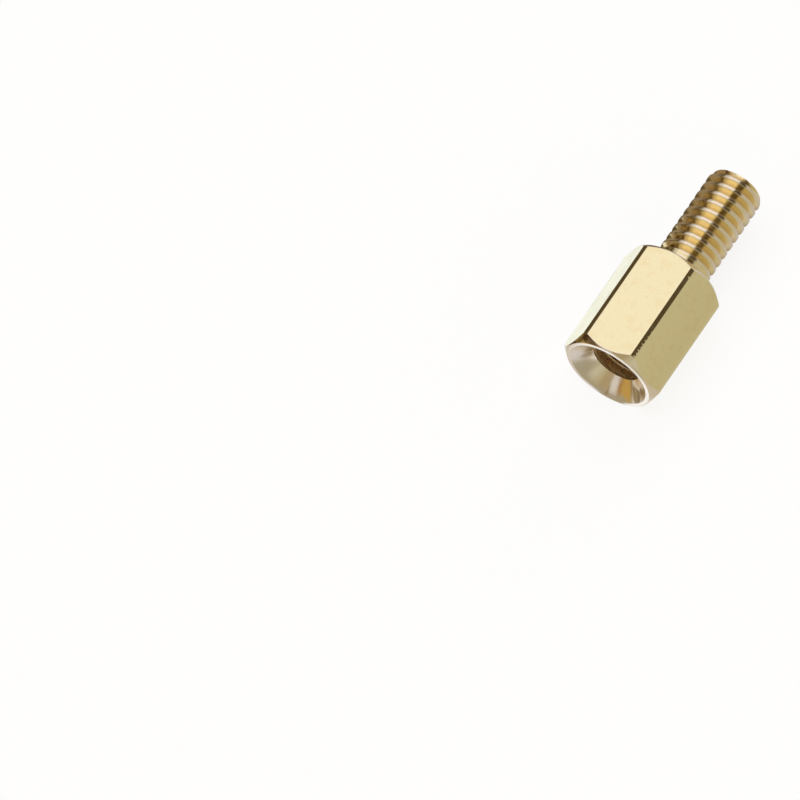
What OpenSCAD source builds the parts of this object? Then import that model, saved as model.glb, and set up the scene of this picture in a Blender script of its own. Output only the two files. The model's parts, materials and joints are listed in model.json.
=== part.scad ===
// Male-female hexagonal standoff, turned from brass hexagon bar in one piece.
// It lies on one of its flats, with its axis along X and its stud pointing to +X.
// The origin is on the axis, in the plane of the shoulder that the stud stands on.

/* [Hex body] */
// Width of the hexagon across its flats
across_flats = 4.5; // [4:0.1:7]
// Length of the body, from the mouth of the hole to the shoulder
body_length = 6; // [5:0.5:12]
// Radius of the six long edges
edge_radius = 0.25; // [0.05:0.01:0.4]
// Angle at which the rounded edges meet the flats
edge_lead = 4; // [3:1:10]
// Distance from the flats in to the rim of each turned end face
face_inset = 0.05; // [0.02:0.01:0.2]
// Angle between the turned end chamfers and the axis
chamfer_angle = 45; // [30:5:60]

/* [Threaded stud] */
// Diameter over the crests of the thread
stud_diameter = 2.74; // [2:0.02:3.4]
// Length from the shoulder to the tip
stud_length = 5.5; // [3:0.1:12]
// Length of the taper at the tip
tip_length = 0.4; // [0.1:0.05:1]
// Depth of the taper at the tip, below the crests
tip_depth = 0.16; // [0.05:0.01:0.5]

/* [Tapped hole] */
// Diameter of the bore, which is the inner diameter of its thread
bore_diameter = 2.5; // [1.6:0.05:3]
// Width of the flat ring around the mouth
mouth_land = 0.18; // [0.1:0.01:0.3]
// Full angle of the countersink
countersink_angle = 90; // [60:5:120]
// Full angle of the drill point at the end of the bore
drill_point_angle = 118; // [90:1:140]
// Metal left between the drill point and the shoulder
end_web = 0.75; // [0.4:0.05:2]

/* [Hidden] */
$fn = 96;
brass = [0.86, 0.73, 0.42];

// Radii of the sharp corners, of the turned end faces and of the countersink at the mouth
corner_radius = across_flats / 2 / cos(30);
face_radius = across_flats / 2 - face_inset;
countersink_radius = face_radius - mouth_land;

// Depth of each end chamfer along the axis, out to the sharp corners
chamfer_depth = (corner_radius - face_radius) / tan(chamfer_angle);

// Depths of the tapped hole, measured from the shoulder
bore_radius = bore_diameter / 2;
bore_end = end_web + bore_radius / tan(drill_point_angle / 2);
countersink_depth = (countersink_radius - bore_radius) / tan(countersink_angle / 2);

// Radii of the stud, and the depth that it is rooted in the body
crest_radius = stud_diameter / 2;
tip_radius = crest_radius - tip_depth;
stud_root = end_web / 2;

// Hexagon with two flats square to X, whose corners are rounded by circles that cross the flats
module rounded_hexagon() {
    arc_center = (across_flats / 2 - edge_radius * cos(edge_lead)) / cos(30);
    flat_width = arc_center + edge_radius * sin(edge_lead);
    intersection() {
        rotate(30)
            circle(r = corner_radius, $fn = 6);
        for (side = [0 : 60 : 300])
            rotate(side) {
                translate([0, -flat_width / 2])
                    square([corner_radius, flat_width]);
                rotate(30)
                    translate([arc_center, 0])
                        circle(r = edge_radius);
            }
    }
}

// Turned form that the hexagon bar is cut back to at both ends
module turned_ends() {
    rotate_extrude()
        polygon([
            [0, -body_length],
            [face_radius, -body_length],
            [corner_radius, -body_length + chamfer_depth],
            [corner_radius, -chamfer_depth],
            [face_radius, 0],
            [0, 0],
        ]);
}

// Hexagonal body, with its chamfers sweeping down to each corner
module body() {
    intersection() {
        translate([0, 0, -body_length])
            linear_extrude(height = body_length)
                rounded_hexagon();
        turned_ends();
    }
}

// Stud at the size of its thread crests, with its tapered tip
module stud() {
    rotate_extrude()
        polygon([
            [0, -stud_root],
            [crest_radius, -stud_root],
            [crest_radius, stud_length - tip_length],
            [tip_radius, stud_length],
            [0, stud_length],
        ]);
}

// Blind hole at the inner size of its thread, with its countersink and drill point
module tapped_hole() {
    rotate_extrude()
        polygon([
            [0, -end_web],
            [bore_radius, -bore_end],
            [bore_radius, -body_length + countersink_depth],
            [countersink_radius, -body_length],
            [0, -body_length],
        ]);
}

// The whole standoff, laid down along X
module hex_standoff() {
    color(brass)
        rotate([0, 90, 0])
            difference() {
                union() {
                    body();
                    stud();
                }
                tapped_hole();
            }
}

hex_standoff();
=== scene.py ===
"""Male-female brass hex standoff: rounded hexagon bar, turned ends, rolled stud thread and tapped hole."""

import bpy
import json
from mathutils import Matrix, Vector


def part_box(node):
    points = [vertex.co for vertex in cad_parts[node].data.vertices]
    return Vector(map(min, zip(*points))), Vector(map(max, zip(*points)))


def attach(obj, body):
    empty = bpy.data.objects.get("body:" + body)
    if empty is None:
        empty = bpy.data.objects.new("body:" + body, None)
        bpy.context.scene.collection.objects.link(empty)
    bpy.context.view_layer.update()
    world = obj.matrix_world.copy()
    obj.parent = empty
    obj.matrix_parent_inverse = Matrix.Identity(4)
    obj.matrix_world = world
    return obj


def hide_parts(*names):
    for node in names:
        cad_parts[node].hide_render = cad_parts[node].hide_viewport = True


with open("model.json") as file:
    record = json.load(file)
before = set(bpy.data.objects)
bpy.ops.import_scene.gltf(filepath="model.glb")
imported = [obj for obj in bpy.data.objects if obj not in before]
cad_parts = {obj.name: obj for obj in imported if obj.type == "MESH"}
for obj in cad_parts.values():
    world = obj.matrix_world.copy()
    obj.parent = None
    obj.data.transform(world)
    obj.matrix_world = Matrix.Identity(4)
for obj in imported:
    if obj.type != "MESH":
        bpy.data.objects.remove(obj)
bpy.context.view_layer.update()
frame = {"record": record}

import json
import math
import random
from types import SimpleNamespace

import bmesh
import bpy
from bpy.props import FloatProperty, FloatVectorProperty, PointerProperty
from mathutils import Matrix, Vector

bl_info = {
    "name": "Brass Hex Standoff",
    "version": (1, 0, 0),
    "blender": (4, 5, 0),
    "location": "View3D > Sidebar > Standoff",
    "description": "Builds a threaded brass hex standoff and a plain studio around it",
    "category": "Add Mesh",
}

NODE = "hex_standoff"
MM = 0.001

# Sizes that the frame gives, in metres
BOX_LOW, BOX_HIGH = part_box(NODE)
MOUNTS = {mount["name"]: mount for mount in frame["record"]["mounts"]}
STUD = MOUNTS["male_stud"]
HOLE = MOUNTS["tapped_hole"]
MOUTH_X = BOX_LOW[0]
TIP_X = BOX_HIGH[0]
FLAT_REACH = BOX_HIGH[2]
CORNER_REACH = BOX_HIGH[1]
CREST_RADIUS = STUD["dims"]["r_mm"] * MM
TAPER_X = STUD["pos_m"][0] + STUD["dims"]["length_mm"] * MM / 2
BORE_RADIUS = HOLE["dims"]["r_mm"] * MM
BORE_START_X = HOLE["pos_m"][0] - HOLE["dims"]["length_mm"] * MM / 2
BORE_END_X = HOLE["pos_m"][0] + HOLE["dims"]["length_mm"] * MM / 2

# Corner of the hexagon, as a multiple of the distance to its flats, and the radius that rounds it
CORNER_FACTOR = 1 / math.cos(math.radians(30))
EDGE_RADIUS = (FLAT_REACH * CORNER_FACTOR - CORNER_REACH) / (CORNER_FACTOR - 1)

# How finely the mesh is cut, and how far apart points that are one may be, in millimetres
THREAD_STEPS = 120
EDGE_SEGMENTS = 8
FLAT_CUTS = 10
BORDER_CUTS = 2
LENGTH_CUTS = 240
MERGE_DISTANCE = 0.0002

# How far the long edges are worn from round to flat
BLUNTNESS = 0.92

# Handling nicks along the long edges, and the edge between the top and the right flat, which has the most
NICK_SEED = 7
NICKS_PER_EDGE = 4
FRONT_EDGE = math.radians(120)

# Faces that meet at more than this angle keep a sharp edge
SHARP_ANGLE = math.radians(34)

# Plain colours
BLACK = (0.0, 0.0, 0.0, 1.0)
WHITE = (1.0, 1.0, 1.0, 1.0)

# Slots of the piece's materials
DRAWN, TURNED, FACED, THREADED, TAPPED = range(5)


def length_property(name, description, default):
    """A length in metres that a user may change"""
    return FloatProperty(
        name=name, description=description, default=default, min=0.0, precision=6,
        subtype="DISTANCE", unit="LENGTH")


def angle_property(name, description, degrees):
    """An angle that a user may change"""
    return FloatProperty(
        name=name, description=description, default=math.radians(degrees), subtype="ANGLE", unit="ROTATION")


def color_property(name, description, default):
    """A linear colour that a user may change"""
    return FloatVectorProperty(
        name=name, description=description, default=default, size=3, min=0.0, max=1.2, subtype="COLOR")


def share_property(name, description, default):
    """A number from nothing to one, or a little more, that a user may change"""
    return FloatProperty(
        name=name, description=description, default=default, min=0.0, max=2.0, subtype="FACTOR")


class StandoffSizes(bpy.types.PropertyGroup):
    """Lengths of the standoff"""
    across_flats: length_property("Across flats", "Width of the hexagon across its flats", 2 * FLAT_REACH)
    body_length: length_property("Body length", "From the mouth of the hole to the shoulder", -MOUTH_X)
    edge_radius: length_property("Edge radius", "Radius of the six long edges", EDGE_RADIUS)
    face_inset: length_property("Face inset", "From the flats in to the rim of each turned end", 0.00005)
    edge_break: length_property("Edge break", "Width of the broken edges round the turned ends", 0.000018)
    nick_depth: length_property("Nick depth", "Depth of the small nicks along the long edges", 0.00002)
    mouth_land: length_property("Mouth land", "Width of the flat ring round the mouth", 0.00018)
    stud_length: length_property("Stud length", "From the shoulder to the tip", TIP_X)
    crest_radius: length_property("Crest radius", "Over the crests of the stud's thread", CREST_RADIUS)
    tip_length: length_property("Tip length", "Length of the taper at the tip", TIP_X - TAPER_X)
    tip_depth: length_property("Tip depth", "Depth of the taper at the tip", 0.00016)
    shank_length: length_property("Shank length", "Plain shank beside the shoulder", 0.00042)
    shank_inset: length_property("Shank inset", "From the crests in to the plain shank", 0.00008)
    runout_length: length_property("Run-out length", "Where a thread fades out", 0.0004)
    pitch: length_property("Pitch", "From one turn of the threads to the next", 0.0005)
    stud_thread_depth: length_property("Stud thread depth", "From crest to root on the stud", 0.000277)
    bore_radius: length_property("Bore radius", "Inner radius of the tapped thread", BORE_RADIUS)
    bore_thread_depth: length_property("Bore thread depth", "From crest to root in the bore", 0.00027)
    bore_length: length_property(
        "Bore length", "From the countersink to the drill point", BORE_END_X - BORE_START_X)
    plain_bore: length_property("Plain bore", "Bore beyond the last turn of the thread", 0.0006)


class StandoffFinish(bpy.types.PropertyGroup):
    """Angles and finish of the standoff"""
    chamfer_angle: angle_property("Chamfer angle", "Between the end chamfers and the axis", 45)
    countersink_angle: angle_property("Countersink angle", "Full angle of the countersink", 90)
    drill_angle: angle_property("Drill point angle", "Full angle of the drill point", 118)
    brass: color_property("Brass", "Clean metal", (0.90, 0.775, 0.47))
    stain: color_property("Stain", "Warmer blotches on the metal", (0.86, 0.68, 0.36))
    turned: color_property("Turned", "Paler metal of the freshly turned faces", (0.94, 0.85, 0.70))
    turned_stain: color_property("Turned stain", "Blotches on the turned faces", (0.92, 0.79, 0.58))
    faced: color_property("Faced", "Palest metal of the faced ends", (0.98, 0.93, 0.85))
    # The crest colour is a painted highlight on the thread crests and plain shank, and the root colour is
    # painted shade in the thread roots
    crest: color_property("Crest", "Burnished crests of the threads", (0.86, 0.735, 0.54))
    flank: color_property("Flank", "Flanks of the threads", (0.91, 0.75, 0.42))
    root_tint: color_property("Root tint", "Darker metal down in the thread roots", (0.84, 0.64, 0.33))
    tapped: color_property("Tapped", "Oily metal in the tapped hole", (0.88, 0.73, 0.52))
    tapped_stain: color_property("Tapped stain", "Redder blotches in the tapped hole", (0.82, 0.64, 0.44))
    polish: share_property("Polish", "Roughness of the drawn flats", 0.12)
    tooling: share_property("Tooling", "Roughness of the turned faces", 0.15)
    facing: share_property("Facing", "Roughness of the faced ends", 0.21)
    rolling: share_property("Rolling", "Roughness of the stud's thread", 0.15)
    tapping: share_property("Tapping", "Roughness of the tapped thread", 0.28)


class StudioLook(bpy.types.PropertyGroup):
    """Floor, light and camera of the studio"""
    floor: color_property("Floor", "Pale floor, under the light alone", (0.25, 0.25, 0.25))
    white: color_property("White", "What the camera sees on top of that", (0.86, 0.86, 0.86))
    near_glow: color_property(
        "Near glow", "Strip of floor left of the part, in reflections", (1.0, 1.09, 1.15))
    side_glow: color_property("Side glow", "Floor right of the stud, in reflections", (0.61, 0.59, 0.585))
    far_glow: color_property("Far glow", "Floor further away, in reflections", (0.57, 0.55, 0.445))
    front_glow: color_property("Front glow", "Floor before the mouth, in reflections", (1.0, 1.0, 1.0))
    mouth_shade: color_property(
        "Mouth shade", "Floor close to the mouth, in reflections", (0.66, 0.65, 0.69))
    left_shade: color_property("Left shade", "Floor left of the mouth, in reflections", (0.62, 0.56, 0.47))
    right_shade: color_property(
        "Right shade", "Floor right of the mouth, in reflections", (0.58, 0.52, 0.43))
    foot_shade: color_property(
        "Foot shade", "Floor at the foot of the mouth, in reflections", (0.40, 0.33, 0.22))
    tip_glow: color_property("Tip glow", "Floor and room beyond the stud's tip", (0.72, 0.66, 0.50))
    dusk: color_property("Dusk", "Brown shade left of the part", (0.29, 0.225, 0.14))
    walls: color_property("Walls", "Grey room beyond the stud", (0.55, 0.535, 0.45))
    window: color_property("Window", "Pale room before the mouth", (0.57, 0.54, 0.42))
    low_wall: color_property("Low wall", "Duller wall low before the mouth", (0.45, 0.42, 0.30))
    straw_wall: color_property("Straw wall", "Straw-coloured stretch above that wall", (0.49, 0.44, 0.29))
    brown_wall: color_property("Brown wall", "Brown stretch beside the pale panel", (0.41, 0.33, 0.195))
    ember_wall: color_property("Ember wall", "Orange-brown stretch beyond the panel", (0.40, 0.245, 0.11))
    panel: color_property("Panel", "Pale panel before the mouth", (0.67, 0.65, 0.64))
    corner: color_property("Corner", "Dark brown corner left of the mouth", (0.045, 0.024, 0.008))
    ember_card: color_property("Ember card", "Front of the low card left of the mouth", (0.36, 0.19, 0.06))
    warm_card: color_property("Warm card", "Middle of the low card left of the mouth", (0.52, 0.335, 0.09))
    tan_card: color_property("Tan card", "Back of the low card left of the mouth", (0.34, 0.245, 0.125))
    # The stud card's dark colour is painted shade in the reflections on the stud
    stud_card: color_property("Stud card", "Low dark card left of the stud", (0.12, 0.095, 0.055))
    tawny_card: color_property("Tawny card", "Taller brown card behind the dark one", (0.31, 0.245, 0.16))
    olive_card: color_property("Olive card", "Low card before the mouth", (0.375, 0.345, 0.26))
    umber_card: color_property("Umber card", "Dark stripes of the card at the mouth", (0.195, 0.15, 0.09))
    straw_card: color_property("Straw card", "Pale stripes of the card at the mouth", (0.40, 0.31, 0.18))
    brown_card: color_property("Brown card", "Front of the tall card left of the mouth", (0.20, 0.13, 0.064))
    golden_corner: color_property("Golden corner", "Back of that tall card", (0.26, 0.18, 0.06))
    backdrop: color_property("Backdrop", "White cloth overhead", (0.68, 0.68, 0.73))
    flags: color_property("Flags", "Dark cards on both sides", (0.085, 0.064, 0.036))
    lamp_radiance: share_property("Lamp", "Brightness of the softbox", 0.35)
    azimuth: angle_property("Azimuth", "Camera round the object", -53.9)
    elevation: angle_property("Elevation", "Camera above the horizon", 59.0)
    roll: angle_property("Roll", "Turn of the camera about its own line of sight", -5.76)
    distance: length_property("Distance", "From the camera to the shoulder", 1.2)
    frame_width: length_property("Frame width", "Width that the camera shows there", 0.0367)
    aim: FloatVectorProperty(
        name="Aim", description="Middle of the frame, right of the shoulder and above it", size=2,
        default=(-0.01264, -0.00566), precision=6, subtype="TRANSLATION", unit="LENGTH")


def in_millimetres(sizes):
    """The lengths of a property group by name, in millimetres, in which the meshes are shaped"""
    return SimpleNamespace(**{name: getattr(sizes, name) / MM for name in sizes.__annotations__})


def axis_distance(point):
    """Distance of a point from the standoff's axis"""
    return math.hypot(point.y, point.z)


def set_axis_distance(vert, radius):
    """Moves a vertex straight towards or away from the axis"""
    factor = radius / axis_distance(vert.co)
    vert.co.y *= factor
    vert.co.z *= factor


def smooth_step(value, low, high):
    """Rises smoothly from nothing at low to one at high"""
    share = min(max((value - low) / (high - low), 0.0), 1.0)
    return share * share * (3 - 2 * share)


def verts_of(geometry):
    """The vertices of an operator's result"""
    return [item for item in geometry if isinstance(item, bmesh.types.BMVert)]


def edges_of(geometry):
    """The edges of an operator's result"""
    return [item for item in geometry if isinstance(item, bmesh.types.BMEdge)]


def open_edges(bm, plane_x):
    """The open edges that lie in one plane square to the axis"""
    reach = 0.0005
    return [
        edge for edge in bm.edges
        if edge.is_boundary and all(abs(vert.co.x - plane_x) < reach for vert in edge.verts)]


def rounded_hexagon(bm, size):
    """Ring of edges square to the axis, with round corners, two of them on Y"""
    border = 0.09
    corner = size.across_flats / 2 * CORNER_FACTOR
    tangent = size.edge_radius * math.tan(math.radians(30))
    bmesh.ops.create_circle(
        bm, cap_ends=True, segments=6, radius=corner, matrix=Matrix.Rotation(math.pi / 2, 4, "Y"))
    bmesh.ops.bevel(
        bm, geom=bm.verts[:], offset=tangent, offset_type="OFFSET", segments=EDGE_SEGMENTS, profile=0.5,
        affect="VERTICES", material=-1)
    bmesh.ops.delete(bm, geom=bm.faces[:], context="FACES_ONLY")
    blunt_corners(bm, size)
    flats = [edge for edge in bm.edges if edge.calc_length() > size.across_flats / 4]
    for flat in flats:
        for end in list(flat.verts):
            bmesh.utils.edge_split(flat, end, border / flat.calc_length())
    borders = [edge for edge in bm.edges if abs(edge.calc_length() - border) < border / 10]
    bmesh.ops.subdivide_edges(bm, edges=borders, cuts=BORDER_CUTS)
    flats = [edge for edge in bm.edges if edge.calc_length() > size.across_flats / 4]
    bmesh.ops.subdivide_edges(bm, edges=flats, cuts=FLAT_CUTS)
    return bm.edges[:]


def blunt_corners(bm, size):
    """Flattens the round corners towards their chords, as wear does"""
    chord = (size.across_flats / 2 - size.edge_radius) * CORNER_FACTOR + size.edge_radius / CORNER_FACTOR
    for vert in bm.verts:
        corner = round(math.atan2(vert.co.z, vert.co.y) / math.radians(60)) * math.radians(60)
        outward = Vector((0, math.cos(corner), math.sin(corner)))
        vert.co -= outward * max(vert.co.dot(outward) - chord, 0.0) * BLUNTNESS


def handling_nicks(size):
    """Nicks as the edge's angle about the axis, the place along it, the lean to one side, and the depth"""
    nearest, furthest = 0.08, 0.92
    shallowest, deepest = 0.15, 0.45
    draw = random.Random(NICK_SEED)
    nicks = []
    for corner in range(6):
        for _ in range(NICKS_PER_EDGE):
            place = draw.uniform(nearest, furthest)
            lean = draw.uniform(-1, 1)
            nicks.append((math.radians(60 * corner), place, lean, draw.uniform(shallowest, deepest)))
    places = (0.066, 0.098, 0.127, 0.161, 0.189, 0.226, 0.268, 0.312, 0.87)
    leans = (1.2, 1.5, 1.3, 1.6, 1.2, 1.5, 1.4, 1.6, 1.4)
    depths = (0.8, 0.55, 0.75, 0.4, 0.65, 0.5, 0.35, 0.3, 0.9)
    nicks += [(FRONT_EDGE, *nick) for nick in zip(places, leans, depths)]
    return [
        (angle, -size.body_length * (1 - place), lean, depth * size.nick_depth)
        for angle, place, lean, depth in nicks]


def nick_long_edges(bm, size):
    """Presses the small handling nicks into the worn edges"""
    half_angle = math.radians(2.0)
    half_length = 0.034
    nicks = handling_nicks(size)
    for vert in bm.verts:
        around = math.atan2(vert.co.z, vert.co.y)
        sunk = 0.0
        for angle, place, lean, depth in nicks:
            aside = (around - angle - lean * half_angle + math.pi) % (2 * math.pi) - math.pi
            along = vert.co.x - place
            if abs(aside) < half_angle and abs(along) < half_length:
                sunk += depth * (1 - (aside / half_angle) ** 2) * (1 - (along / half_length) ** 2)
        if sunk:
            set_axis_distance(vert, axis_distance(vert.co) - sunk)


def turned_end(bm, ring, outward, plane_x, face_radius, slope, size):
    """Chamfer from the bar to an end face, with its two edges broken, and a strip of the face"""
    edge_break = size.edge_break
    run = Vector((outward, -slope)).normalized() * edge_break

    def corner_of(vert):
        reach = vert[bm.verts.layers.float["reach"]]
        return Vector((plane_x - outward * (reach - face_radius) / slope, reach))

    rim = Vector((plane_x, face_radius))
    inward = Vector((0, -edge_break))
    face_strip = Vector((0, size.mouth_land / 3))
    # The middle of a broken edge lies a quarter of the way out to both of its sides
    steps = (
        (TURNED, lambda corner: corner + (run - Vector((outward * edge_break, 0))) / 4),
        (TURNED, lambda corner: corner + run),
        (TURNED, lambda corner: rim - run),
        (TURNED, lambda corner: rim + (inward - run) / 4),
        (TURNED, lambda corner: rim + inward),
        (FACED, lambda corner: rim - face_strip),
    )
    for material, step in steps:
        grown = bmesh.ops.extrude_edge_only(bm, edges=ring)["geom"]
        for vert in verts_of(grown):
            place = step(corner_of(vert))
            set_axis_distance(vert, place[1])
            vert.co.x = place[0]
        ring = edges_of(grown)
        for edge in ring:
            for face in edge.link_faces:
                face.material_index = material


def hexagon_body(size, finish):
    """Hexagon bar with both ends chamfered and its edges broken"""
    bm = bmesh.new()
    face_radius = size.across_flats / 2 - size.face_inset
    slope = math.tan(finish.chamfer_angle)
    mouth_ring = rounded_hexagon(bm, size)
    reach = bm.verts.layers.float.new("reach")
    for vert in bm.verts:
        vert[reach] = axis_distance(vert.co)
        vert.co.x = -size.body_length + (vert[reach] - face_radius) / slope + size.edge_break
    shoulder = bmesh.ops.extrude_edge_only(bm, edges=mouth_ring)["geom"]
    for vert in verts_of(shoulder):
        vert.co.x = -(vert[reach] - face_radius) / slope - size.edge_break
    long_edges = [
        edge for edge in bm.edges
        if abs(edge.verts[0].co.x - edge.verts[1].co.x) > size.body_length / 2]
    bmesh.ops.subdivide_edges(bm, edges=long_edges, cuts=LENGTH_CUTS, use_grid_fill=True)
    nick_long_edges(bm, size)
    turned_end(bm, mouth_ring, -1, -size.body_length, face_radius, slope, size)
    turned_end(bm, edges_of(shoulder), 1, 0.0, face_radius, slope, size)
    return bm


def thread_turn(crest, root):
    """One pitch of a thread as shares of the pitch and of the depth, from a crest's middle to the next"""
    soft = 0.03
    half = [
        (0.0, 0.0), (crest - soft, 0.0), (crest - soft / 3, 0.006), (crest + soft / 3, 0.03),
        (crest + soft, 0.08), (0.5 - root - soft, 0.93), (0.5 - root, 0.985), (0.5, 1.0),
    ]
    return half + [(1 - share, drop) for share, drop in reversed(half[1:-1])]


def thread_tube(size, crest, root, start_x, end_x, radius_at, rings=()):
    """Right-hand screw surface round the axis, cut square at both ends

    Crest and root are half of their widths, as shares of the pitch.
    The function radius_at takes x and the share of the depth.
    """
    bm = bmesh.new()
    turn = thread_turn(crest, root)
    first = math.floor(start_x / size.pitch) - 1
    last = math.ceil(end_x / size.pitch) + 1
    drop_layer = bm.verts.layers.float.new("drop")
    line = []
    for index in range(first, last):
        for share, drop in turn:
            vert = bm.verts.new(((index + share) * size.pitch, 1.0, 0.0))
            vert[drop_layer] = drop
            line.append(vert)
    edges = [bm.edges.new(pair) for pair in zip(line, line[1:])]
    bmesh.ops.spin(
        bm, geom=line + edges, axis=(1, 0, 0), cent=(0, 0, 0), dvec=(size.pitch / THREAD_STEPS, 0, 0),
        angle=2 * math.pi, steps=THREAD_STEPS, use_merge=False, use_duplicate=False)
    bmesh.ops.remove_doubles(bm, verts=bm.verts[:], dist=MERGE_DISTANCE)
    for ring_x in rings:
        bmesh.ops.bisect_plane(
            bm, geom=bm.verts[:] + bm.edges[:] + bm.faces[:], dist=MERGE_DISTANCE, plane_co=(ring_x, 0, 0),
            plane_no=(1, 0, 0))
    for vert in bm.verts:
        set_axis_distance(vert, radius_at(vert.co.x, vert[drop_layer]))
    for plane_x, side in ((start_x, -1), (end_x, 1)):
        bmesh.ops.bisect_plane(
            bm, geom=bm.verts[:] + bm.edges[:] + bm.faces[:], dist=MERGE_DISTANCE, plane_co=(plane_x, 0, 0),
            plane_no=(side, 0, 0), clear_outer=True)
    return bm


def stud(size):
    """Threaded stud: plain shank, run-out, full thread and tapered tip with a flat end"""
    end_ring = 0.04
    end_facing = 0.9
    taper_start = size.stud_length - size.tip_length
    last_turn = size.stud_length - size.pitch / 4

    def radius_at(x, drop):
        started = smooth_step(x, size.shank_length, size.shank_length + size.runout_length)
        ended = smooth_step(x, last_turn, size.stud_length)
        outer = size.crest_radius - size.shank_inset * (1 - started)
        radius = outer - size.stud_thread_depth * started * (1 - ended) * drop
        past = min(max(x - taper_start, 0.0) / size.tip_length, 1.0)
        return min(radius, size.crest_radius - size.tip_depth * past ** 2)

    bm = thread_tube(
        size, crest=0.15, root=0.03, start_x=0.0, end_x=size.stud_length, radius_at=radius_at)
    tip = bmesh.ops.contextual_create(bm, geom=open_edges(bm, size.stud_length))["faces"]
    bmesh.ops.inset_region(bm, faces=tip, thickness=end_ring, depth=0.0, use_even_offset=True)
    for face in bm.faces:
        at_end = face.calc_center_median().x > taper_start and face.normal.x > end_facing
        face.material_index = FACED if at_end else THREADED
    return bm


def tapped_hole(size, finish):
    """Countersink, tapped bore and drill point, from the mouth inwards"""
    mouth_x = -size.body_length
    land_radius = size.across_flats / 2 - size.face_inset - size.mouth_land
    slope = math.tan(finish.countersink_angle / 2)
    bore_start = mouth_x + (land_radius - size.bore_radius) / slope
    bore_end = bore_start + size.bore_length
    thread_end = bore_end - size.plain_bore

    def cone_radius(x):
        return land_radius - (x - mouth_x) * slope

    def radius_at(x, drop):
        started = smooth_step(x, bore_start, bore_start + size.pitch / 2)
        ended = smooth_step(x, thread_end - size.runout_length, thread_end)
        radius = size.bore_radius + size.bore_thread_depth * started * (1 - ended) * drop
        return max(radius, cone_radius(x))

    bm = thread_tube(
        size, crest=0.125, root=0.0625, start_x=mouth_x, end_x=bore_end, radius_at=radius_at,
        rings=(bore_start,))
    drill = bmesh.ops.extrude_edge_only(bm, edges=open_edges(bm, bore_end))["geom"]
    depth = size.bore_radius / math.tan(finish.drill_angle / 2)
    bmesh.ops.pointmerge(bm, verts=verts_of(drill), merge_co=(bore_end + depth, 0, 0))
    for face in bm.faces:
        face.material_index = TURNED if face.calc_center_median().x < bore_start else TAPPED
    return bm


def joined(parts):
    """One bmesh that holds the given ones, which are freed"""
    whole = bmesh.new()
    passing = bpy.data.meshes.new("passing")
    for part in parts:
        part.to_mesh(passing)
        part.free()
        whole.from_mesh(passing)
    bpy.data.meshes.remove(passing)
    return whole


def add_node(tree, kind, inputs=None, **settings):
    """A new node with its settings and the values of its inputs"""
    node = tree.nodes.new(kind)
    for name, value in settings.items():
        setattr(node, name, value)
    for name, value in (inputs or {}).items():
        node.inputs[name].default_value = value
    return node


def opaque(color):
    """A colour with full alpha"""
    return (*color, 1.0)


def mix_colors(tree, factor, first, second):
    """A colour mix; each input is an output socket or a plain value"""
    node = add_node(tree, "ShaderNodeMix", data_type="RGBA")
    for name, value in (("Factor_Float", factor), ("A_Color", first), ("B_Color", second)):
        socket = next(item for item in node.inputs if item.identifier == name)
        if isinstance(value, bpy.types.NodeSocket):
            tree.links.new(value, socket)
        else:
            socket.default_value = value
    return next(item for item in node.outputs if item.identifier == "Result_Color")


def remap(tree, value, from_min, from_max, to_min=0.0, to_max=1.0):
    """A value carried smoothly from one range to another, and held at its ends"""
    node = add_node(
        tree, "ShaderNodeMapRange",
        {"From Min": from_min, "From Max": from_max, "To Min": to_min, "To Max": to_max},
        interpolation_type="SMOOTHSTEP")
    tree.links.new(value, node.inputs["Value"])
    return node.outputs["Result"]


def math_node(tree, operation, first, second=None):
    """A sum, product or other operation on sockets or plain values"""
    node = add_node(tree, "ShaderNodeMath", operation=operation)
    for slot, value in enumerate((first, second)):
        if isinstance(value, bpy.types.NodeSocket):
            tree.links.new(value, node.inputs[slot])
        elif value is not None:
            node.inputs[slot].default_value = value
    return node.outputs[0]


def millimetre_place(tree, scale=(1.0, 1.0, 1.0)):
    """Place on the piece in millimetres, stretched by a scale"""
    place = add_node(tree, "ShaderNodeTexCoord")
    mapping = add_node(tree, "ShaderNodeMapping", {"Scale": [part / MM for part in scale]})
    tree.links.new(place.outputs["Object"], mapping.inputs["Vector"])
    return mapping.outputs["Vector"]


def millimetre_parts(tree):
    """The same place, as its three coordinates"""
    split = add_node(tree, "ShaderNodeSeparateXYZ")
    tree.links.new(millimetre_place(tree), split.inputs["Vector"])
    return [split.outputs[axis] for axis in "XYZ"]


def noise_texture(tree, place, scale, detail, roughness=0.5):
    """A noise from about 0.3 to 0.7"""
    node = add_node(
        tree, "ShaderNodeTexNoise", {"Scale": scale, "Detail": detail, "Roughness": roughness})
    tree.links.new(place, node.inputs["Vector"])
    return node.outputs["Fac"]


def both(tree, *masks):
    """The product of some masks"""
    product = masks[0]
    for mask in masks[1:]:
        product = math_node(tree, "MULTIPLY", product, mask)
    return product


def region(tree, *limits, strength=1.0):
    """A mask by limits, each of them a value, where the mask starts on it and where it is full"""
    masks = [remap(tree, value, start, full) for value, start, full in limits]
    if strength < 1:
        masks.append(strength)
    return both(tree, *masks)


def layered(tree, shown, *layers):
    """A colour with others laid over it in turn, each where its mask is"""
    for mask, color in layers:
        shown = mix_colors(tree, mask, shown, opaque(color))
    return shown


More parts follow.
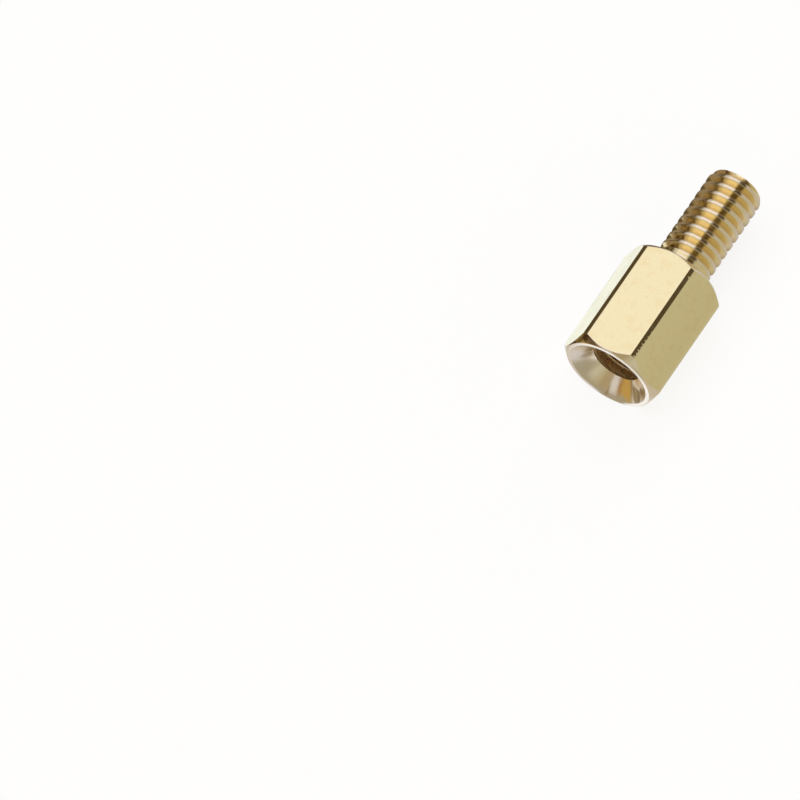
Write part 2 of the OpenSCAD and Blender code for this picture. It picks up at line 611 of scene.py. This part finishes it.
def handled_brass_group():
    """Blotches, specks and fine pits that all the brass shares"""
    group = bpy.data.node_groups.new("handled_brass", "ShaderNodeTree")
    for name, kind in (
            ("Brass", "NodeSocketColor"), ("Stain", "NodeSocketColor"), ("Amount", "NodeSocketFloat"),
            ("Roughness", "NodeSocketFloat")):
        group.interface.new_socket(name=name, in_out="INPUT", socket_type=kind)
    for name, kind in (
            ("Color", "NodeSocketColor"), ("Roughness", "NodeSocketFloat"), ("Height", "NodeSocketFloat")):
        group.interface.new_socket(name=name, in_out="OUTPUT", socket_type=kind)
    given = add_node(group, "NodeGroupInput")
    result = add_node(group, "NodeGroupOutput")
    place = millimetre_place(group)
    clouds = noise_texture(group, place, scale=1.9, detail=4.0, roughness=0.6)
    dots = noise_texture(group, place, scale=7.5, detail=2.0)
    grain = noise_texture(group, place, scale=26.0, detail=2.0)
    wipes = noise_texture(group, place, scale=0.8, detail=3.0, roughness=0.65)
    blotch = remap(group, clouds, 0.46, 0.72)
    speck = remap(group, dots, 0.60, 0.72)
    pit = remap(group, grain, 0.36, 0.24)
    smear = remap(group, wipes, 0.35, 0.7, to_min=0.75, to_max=1.4)
    amount = math_node(group, "MULTIPLY", math_node(group, "ADD", blotch, speck), given.outputs["Amount"])
    color = mix_colors(group, amount, given.outputs["Brass"], given.outputs["Stain"])
    group.links.new(color, result.inputs["Color"])
    roughness = math_node(group, "MULTIPLY", smear, given.outputs["Roughness"])
    group.links.new(roughness, result.inputs["Roughness"])
    height = math_node(group, "MULTIPLY", pit, -1.0)
    group.links.new(height, result.inputs["Height"])
    return group


def brass_material(name, group, colors, amount, roughness, relief, relief_depth, tint=None):
    """Bare brass with the shared handling marks, and tool marks of its own from the relief function"""
    material = bpy.data.materials.new(name)
    material.use_nodes = True
    tree = material.node_tree
    shader = tree.nodes["Principled BSDF"]
    shader.inputs["Metallic"].default_value = 1.0
    marks = add_node(tree, "ShaderNodeGroup", node_tree=group)
    marks.inputs["Brass"].default_value = opaque(colors[0])
    marks.inputs["Stain"].default_value = opaque(colors[1])
    marks.inputs["Amount"].default_value = amount
    marks.inputs["Roughness"].default_value = roughness
    color = tint(tree) if tint else marks.outputs["Color"]
    tree.links.new(color, shader.inputs["Base Color"])
    tree.links.new(marks.outputs["Roughness"], shader.inputs["Roughness"])
    height = math_node(tree, "ADD", relief(tree), marks.outputs["Height"])
    bump = add_node(tree, "ShaderNodeBump", {"Strength": 1.0, "Distance": relief_depth})
    tree.links.new(height, bump.inputs["Height"])
    tree.links.new(bump.outputs["Normal"], shader.inputs["Normal"])
    return material


def draw_lines(tree):
    """Fine lines along the bar, left by the drawing die"""
    stretched = millimetre_place(tree, scale=(0.35, 22.0, 22.0))
    return noise_texture(tree, stretched, scale=1.0, detail=4.0, roughness=0.6)


def turning_rings(tree):
    """Fine rings round the axis, left by the turning tool"""
    squeeze = 0.7
    along = millimetre_parts(tree)[0]
    ring = add_node(tree, "ShaderNodeCombineXYZ")
    tree.links.new(axis_distance_value(tree), ring.inputs["X"])
    tree.links.new(math_node(tree, "MULTIPLY", along, squeeze), ring.inputs["Y"])
    return noise_texture(tree, ring.outputs["Vector"], scale=26.0, detail=3.0, roughness=0.6)


def axis_distance_value(tree):
    """Distance from the axis in millimetres"""
    squares = [math_node(tree, "MULTIPLY", part, part) for part in millimetre_parts(tree)[1:]]
    return math_node(tree, "SQRT", math_node(tree, "ADD", *squares))


def thread_color_and_painted_light(tree, finish, size):
    """Flank colour, with paler crests and shank as a painted highlight and darker roots as painted shade"""
    shank_fade = 0.15
    crest_start, crest_full = 0.05, 0.01
    root_height = 0.12
    reach = axis_distance_value(tree)
    along = millimetre_parts(tree)[0]
    crest = size.crest_radius
    root = crest - size.stud_thread_depth
    # The crests and the plain shank are painted paler as a painted highlight
    on_shank = region(tree, (along, size.shank_length + shank_fade, size.shank_length))
    on_crest = region(tree, (reach, crest - crest_start, crest - crest_full))
    painted_highlight = math_node(tree, "MAXIMUM", on_crest, on_shank)
    # The thread roots are painted darker as painted shade
    sunk = region(tree, (reach, root + root_height, root))
    return layered(tree, opaque(finish.flank), (sunk, finish.root_tint), (painted_highlight, finish.crest))


def rolled_skin(tree):
    """Slightly grained skin of the threads"""
    return noise_texture(tree, millimetre_place(tree), scale=18.0, detail=3.0, roughness=0.6)


def brass_materials(finish, size):
    """The five finishes of the one piece of brass, in the order of their slots"""
    group = handled_brass_group()
    drawn = (finish.brass, finish.stain)
    turned = (finish.turned, finish.turned_stain)
    faced = (finish.faced, finish.turned_stain)
    tapped = (finish.tapped, finish.tapped_stain)

    def thread_tint(tree):
        return thread_color_and_painted_light(tree, finish, size)

    return (
        brass_material(
            "drawn_brass", group, drawn, amount=0.5, roughness=finish.polish,
            relief=draw_lines, relief_depth=0.0000012),
        brass_material(
            "turned_brass", group, turned, amount=0.3, roughness=finish.tooling,
            relief=turning_rings, relief_depth=0.0000022),
        brass_material(
            "faced_brass", group, faced, amount=0.1, roughness=finish.facing,
            relief=turning_rings, relief_depth=0.000003),
        brass_material(
            "threaded_brass", group, drawn, amount=0.4, roughness=finish.rolling,
            relief=rolled_skin, relief_depth=0.000002, tint=thread_tint),
        brass_material(
            "tapped_brass", group, tapped, amount=0.5, roughness=finish.tapping,
            relief=rolled_skin, relief_depth=0.000003),
    )


def mesh_object(scene, name, bm, materials):
    """A new object of the scene from a bmesh, which is freed"""
    mesh = bpy.data.meshes.new(name)
    bm.to_mesh(mesh)
    bm.free()
    for material in materials:
        mesh.materials.append(material)
    thing = bpy.data.objects.new(name, mesh)
    scene.collection.objects.link(thing)
    return thing


def build_standoff(scene):
    """The whole standoff as one closed mesh in the place of its CAD node"""
    size = in_millimetres(scene.standoff_sizes)
    finish = scene.standoff_finish
    bm = joined([hexagon_body(size, finish), stud(size), tapped_hole(size, finish)])
    for plane_x in (-size.body_length, 0.0):
        rim = open_edges(bm, plane_x)
        ring = bmesh.ops.triangle_fill(bm, use_beauty=True, edges=rim, normal=(1, 0, 0))["geom"]
        for item in ring:
            if isinstance(item, bmesh.types.BMFace):
                item.material_index = FACED
    bmesh.ops.recalc_face_normals(bm, faces=bm.faces[:])
    bmesh.ops.scale(bm, vec=(MM, MM, MM), verts=bm.verts[:])
    piece = mesh_object(scene, "brass_standoff", bm, brass_materials(finish, size))
    piece.data.shade_smooth()
    piece.data.set_sharp_from_angle(angle=SHARP_ANGLE)
    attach(piece, "root")
    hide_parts(NODE)


class STANDOFF_OT_part(bpy.types.Operator):
    """Build the threaded brass standoff"""
    bl_idname = "standoff.part"
    bl_label = "Build Standoff"

    def execute(self, context):
        build_standoff(context.scene)
        return {"FINISHED"}


def floor_glow(tree, along, aside, look):
    """The floor as the metal shows it, by the place along the axis and left of it in millimetres"""
    beside_stud = region(tree, (aside, -9.0, -5.0), (along, 0.7, 1.6))
    streak = region(tree, (aside, -17.8, -17.3), (aside, -16.4, -16.9), strength=0.45)
    left_half = region(tree, (aside, -1.9, -0.4))
    beside_mouth = region(tree, (along, -1.6, -2.8), (aside, 0.0, 1.5), strength=0.8)
    inner = math_node(tree, "MAXIMUM", region(tree, (aside, 4.1, 4.4)), beside_mouth)
    strip = both(tree, inner, region(tree, (aside, 6.4, 5.4), (along, 3.4, 2.6)))
    at_mouth = region(tree, (along, -4.9, -5.7))
    beyond_tip = region(tree, (along, 6.5, 8.0), (aside, -3.0, -1.5), (aside, 4.0, 2.5))
    beside_part = layered(
        tree, opaque(look.far_glow), (beside_stud, look.side_glow), (streak, look.dusk),
        (left_half, look.dusk), (strip, look.near_glow), (at_mouth, look.left_shade),
        (beyond_tip, look.tip_glow))
    front_left = region(tree, (aside, 1.1, 1.7))
    front_right = region(tree, (aside, -2.4, -3.0))
    foot = region(tree, (along, -6.45, -6.2), (aside, 0.9, 0.5), (aside, -0.9, -0.5))
    clear = region(tree, (aside, -0.5, -1.0), (aside, -2.6, -2.0), strength=0.85)
    ahead = region(tree, (along, -7.2, -7.8), (aside, 3.4, 2.6), (aside, -3.0, -2.4))
    bright = math_node(tree, "MAXIMUM", clear, ahead)
    distant = region(tree, (along, -11.0, -14.0))
    far_left = region(tree, (aside, 5.4, 6.4))
    before_mouth = layered(
        tree, opaque(look.mouth_shade), (front_left, look.left_shade), (front_right, look.right_shade),
        (foot, look.foot_shade), (bright, look.front_glow), (distant, look.low_wall),
        (far_left, look.corner))
    return mix_colors(tree, region(tree, (along, -5.9, -6.1)), beside_part, before_mouth)


def matt_material(name):
    """A material with no gloss that shows its emission colour as it is, and its shader"""
    material = bpy.data.materials.new(name)
    material.use_nodes = True
    shader = material.node_tree.nodes["Principled BSDF"]
    shader.inputs["Base Color"].default_value = BLACK
    shader.inputs["Roughness"].default_value = 1.0
    shader.inputs["Specular IOR Level"].default_value = 0.0
    shader.inputs["Emission Strength"].default_value = 1.0
    return material, shader


def build_floor(scene, look):
    """Pale floor under the standoff, white to the camera and with a glow of its own in reflections"""
    half_width = 1.5
    bm = bmesh.new()
    bmesh.ops.create_grid(bm, x_segments=1, y_segments=1, size=half_width)
    bmesh.ops.translate(bm, vec=(0, 0, BOX_LOW[2]), verts=bm.verts[:])
    material, shader = matt_material("pale_floor")
    tree = material.node_tree
    path = add_node(tree, "ShaderNodeLightPath")
    along, aside, _ = millimetre_parts(tree)
    mirrored = math_node(tree, "MAXIMUM", path.outputs["Is Glossy Ray"], path.outputs["Is Transmission Ray"])
    lit = mix_colors(tree, mirrored, opaque(look.floor), BLACK)
    tree.links.new(lit, shader.inputs["Base Color"])
    glow = mix_colors(tree, mirrored, BLACK, floor_glow(tree, along, aside, look))
    seen = mix_colors(tree, path.outputs["Is Camera Ray"], glow, opaque(look.white))
    tree.links.new(seen, shader.inputs["Emission Color"])
    floor = mesh_object(scene, "floor", bm, [material])


def round_mask(tree, direction, middle, full, end):
    """One within an angle round a direction, and nothing beyond a wider one, both in degrees"""
    node = add_node(tree, "ShaderNodeVectorMath", {1: Vector(middle).normalized()}, operation="DOT_PRODUCT")
    tree.links.new(direction, node.inputs[0])
    return remap(tree, node.outputs["Value"], math.cos(math.radians(end)), math.cos(math.radians(full)))


def room_before_mouth(tree, roll, look):
    """The room that the countersink shows, by the angle round the axis in degrees"""
    return layered(
        tree, opaque(look.straw_wall),
        (region(tree, (roll, 45, 70)), look.window),
        (region(tree, (roll, 82, 96)), look.low_wall),
        (region(tree, (roll, 38, 28)), look.brown_wall),
        (region(tree, (roll, -14, -22)), look.panel),
        (region(tree, (roll, -45, -56)), look.ember_wall))


def build_world(scene, look):
    """White backdrop overhead, grey walls, three dark flags and a dark corner, which only the metal shows"""
    corner_middle = (-0.59, 0.806, 0.014)
    world = bpy.data.worlds.new("studio")
    world.use_nodes = True
    scene.world = world
    tree = world.node_tree
    path = add_node(tree, "ShaderNodeLightPath")
    place = add_node(tree, "ShaderNodeTexCoord")
    split = add_node(tree, "ShaderNodeSeparateXYZ")
    tree.links.new(place.outputs["Generated"], split.inputs["Vector"])
    across, aside, up = (split.outputs[axis] for axis in "XYZ")
    turn = math_node(tree, "ARCTAN2", math_node(tree, "MULTIPLY", aside, -1.0), up)
    roll = math_node(tree, "DEGREES", turn)
    ahead = region(tree, (across, -0.5, -0.35))
    overhead = both(tree, region(tree, (roll, -50, -40), (roll, 20, 11)), ahead)
    dusk = both(tree, region(tree, (roll, -44, -52)), ahead)
    right_flag = both(tree, region(tree, (roll, 15, 21), (roll, 53, 45)), ahead)
    near_flag = both(tree, region(tree, (roll, -47, -51), (roll, -67, -60)), ahead)
    left_flag = both(tree, region(tree, (roll, -67, -72), (roll, -97, -90)), ahead)
    beyond_tip = region(tree, (across, 0.86, 0.94))
    corner = round_mask(tree, place.outputs["Generated"], corner_middle, full=22, end=27)
    color = layered(
        tree, room_before_mouth(tree, roll, look), (ahead, look.walls), (overhead, look.backdrop),
        (dusk, look.dusk), (right_flag, look.flags), (near_flag, look.flags), (left_flag, look.flags),
        (beyond_tip, look.tip_glow), (corner, look.corner))
    color = mix_colors(tree, path.outputs["Is Camera Ray"], color, WHITE)
    tree.links.new(color, tree.nodes["Background"].inputs["Color"])


def build_card(scene, name, start, end, tops, colors, slant=0.0):
    """Glowing card on the floor between two points, by the heights of its ends, which only the metal shows,
    as a painted reflection

    The colours are given by their places in millimetres along X, leaning with the height by the slant.
    """
    floor_z = BOX_LOW[2]
    half = 0.5
    bm = bmesh.new()
    bmesh.ops.create_grid(bm, x_segments=1, y_segments=1, size=half)
    for vert in bm.verts:
        share = vert.co.x + half
        rise = vert.co.y + half
        top = tops[0] + (tops[1] - tops[0]) * share
        vert.co = (*Vector(start).lerp(end, share), floor_z + (top - floor_z) * rise)
    material, shader = matt_material(name)
    tree = material.node_tree
    first_color = opaque(colors[0][1])
    shader.inputs["Emission Color"].default_value = first_color
    if len(colors) > 1:
        along, _, up = millimetre_parts(tree)
        leaning = math_node(tree, "ADD", along, math_node(tree, "MULTIPLY", up, slant))
        steps = zip(colors, colors[1:])
        fades = [(region(tree, (leaning, low, high)), color) for (low, _), (high, color) in steps]
        tree.links.new(layered(tree, first_color, *fades), shader.inputs["Emission Color"])
    card = mesh_object(scene, name, bm, [material])
    card.visible_camera = False
    card.visible_diffuse = False
    card.visible_shadow = False


def build_cards(scene, look):
    """Small glowing cards beside the part, seen only in reflections, which paint reflections on the
    countersink and painted shade on the left side of the stud
    """
    build_card(
        scene, "golden_card", start=(-0.0142, 0.0047), end=(-0.0103, 0.0083), tops=(0.0022, 0.0010),
        colors=(
            (-13.9, look.ember_card), (-12.9, look.warm_card), (-11.4, look.warm_card),
            (-10.4, look.tan_card)))
    # Dark card whose reflection paints shade on the left side of the stud
    build_card(
        scene, "stud_card", start=(0.0002, 0.0030), end=(0.0056, 0.0030), tops=(-0.00055, -0.00055),
        colors=((0, look.stud_card),))
    build_card(
        scene, "tawny_card", start=(0.00125, 0.0031), end=(0.0072, 0.0031), tops=(0.0019, 0.0019),
        colors=((0, look.tawny_card),))
    build_card(
        scene, "olive_card", start=(-0.0073, 0.0008), end=(-0.0073, -0.0008), tops=(-0.0012, -0.0012),
        colors=((0, look.olive_card),))
    build_card(
        scene, "striped_card", start=(-0.0068, 0.0003), end=(-0.00605, 0.0003), tops=(-0.00183, -0.00127),
        colors=(
            (-4.35, look.straw_card), (-4.15, look.umber_card), (-3.97, look.straw_card),
            (-3.75, look.umber_card), (-3.5, look.umber_card), (-3.3, look.straw_card)),
        slant=-1.34)
    build_card(
        scene, "corner_card", start=(-0.0175, 0.011), end=(-0.0075, 0.011), tops=(0.0055, 0.0055),
        colors=(
            (-16.5, look.brown_card), (-13.5, look.corner), (-11.2, look.corner),
            (-9.9, look.golden_corner)))


def build_lamp(scene, look):
    """Softbox over the table"""
    width = 1.1
    depth = 0.9
    place = (0.25, 0.15, 1.0)
    lamp = bpy.data.lights.new("softbox", "AREA")
    lamp.shape = "RECTANGLE"
    lamp.size = width
    lamp.size_y = depth
    lamp.energy = look.lamp_radiance * math.pi * width * depth
    softbox = bpy.data.objects.new("softbox", lamp)
    softbox.location = place
    scene.collection.objects.link(softbox)


def build_camera(scene, look):
    """Camera at the photograph's viewing angle and framing"""
    lens = bpy.data.cameras.new("camera")
    lens.sensor_width = 36.0
    lens.lens = lens.sensor_width * look.distance / look.frame_width
    lens.clip_start = 0.001
    camera = bpy.data.objects.new("camera", lens)
    turn = (
        Matrix.Rotation(look.azimuth, 3, "Z")
        @ Matrix.Rotation(math.pi / 2 - look.elevation, 3, "X")
        @ Matrix.Rotation(look.roll, 3, "Z"))
    sight = turn.col[2].copy()
    aim = turn @ Vector((*look.aim, 0.0))
    swing = sight.rotation_difference(sight * look.distance - aim).to_matrix()
    camera.matrix_world = Matrix.Translation(sight * look.distance) @ (swing @ turn).to_4x4()
    scene.collection.objects.link(camera)
    scene.camera = camera


class STANDOFF_OT_stage(bpy.types.Operator):
    """Build the floor, light, backdrop and camera"""
    bl_idname = "standoff.stage"
    bl_label = "Build Studio"

    def execute(self, context):
        scene = context.scene
        scene.view_settings.view_transform = "Standard"
        build_floor(scene, scene.standoff_studio)
        build_world(scene, scene.standoff_studio)
        build_cards(scene, scene.standoff_studio)
        build_lamp(scene, scene.standoff_studio)
        build_camera(scene, scene.standoff_studio)
        return {"FINISHED"}


class STANDOFF_PT_sidebar(bpy.types.Panel):
    """Sizes, finish and studio of the standoff"""
    bl_idname = "STANDOFF_PT_sidebar"
    bl_label = "Hex Standoff"
    bl_space_type = "VIEW_3D"
    bl_region_type = "UI"
    bl_category = "Standoff"

    def draw(self, context):
        layout = self.layout
        for name in GROUPS:
            group = getattr(context.scene, name)
            column = layout.column(align=True)
            for field in group.__annotations__:
                column.prop(group, field)
        layout.operator(STANDOFF_OT_part.bl_idname)
        layout.operator(STANDOFF_OT_stage.bl_idname)


GROUPS = {
    "standoff_sizes": StandoffSizes,
    "standoff_finish": StandoffFinish,
    "standoff_studio": StudioLook,
}
CLASSES = (*GROUPS.values(), STANDOFF_OT_part, STANDOFF_OT_stage, STANDOFF_PT_sidebar)


def register():
    """Adds the classes and the scene's settings"""
    for item in CLASSES:
        bpy.utils.register_class(item)
    for name, group in GROUPS.items():
        setattr(bpy.types.Scene, name, PointerProperty(type=group))


def unregister():
    """Takes the settings and the classes away again"""
    for name in GROUPS:
        delattr(bpy.types.Scene, name)
    for item in reversed(CLASSES):
        bpy.utils.unregister_class(item)


def main():
    """Builds the standoff and its studio"""
    register()
    bpy.ops.standoff.part()
    bpy.ops.standoff.stage()


if __name__ == "__main__":
    main()
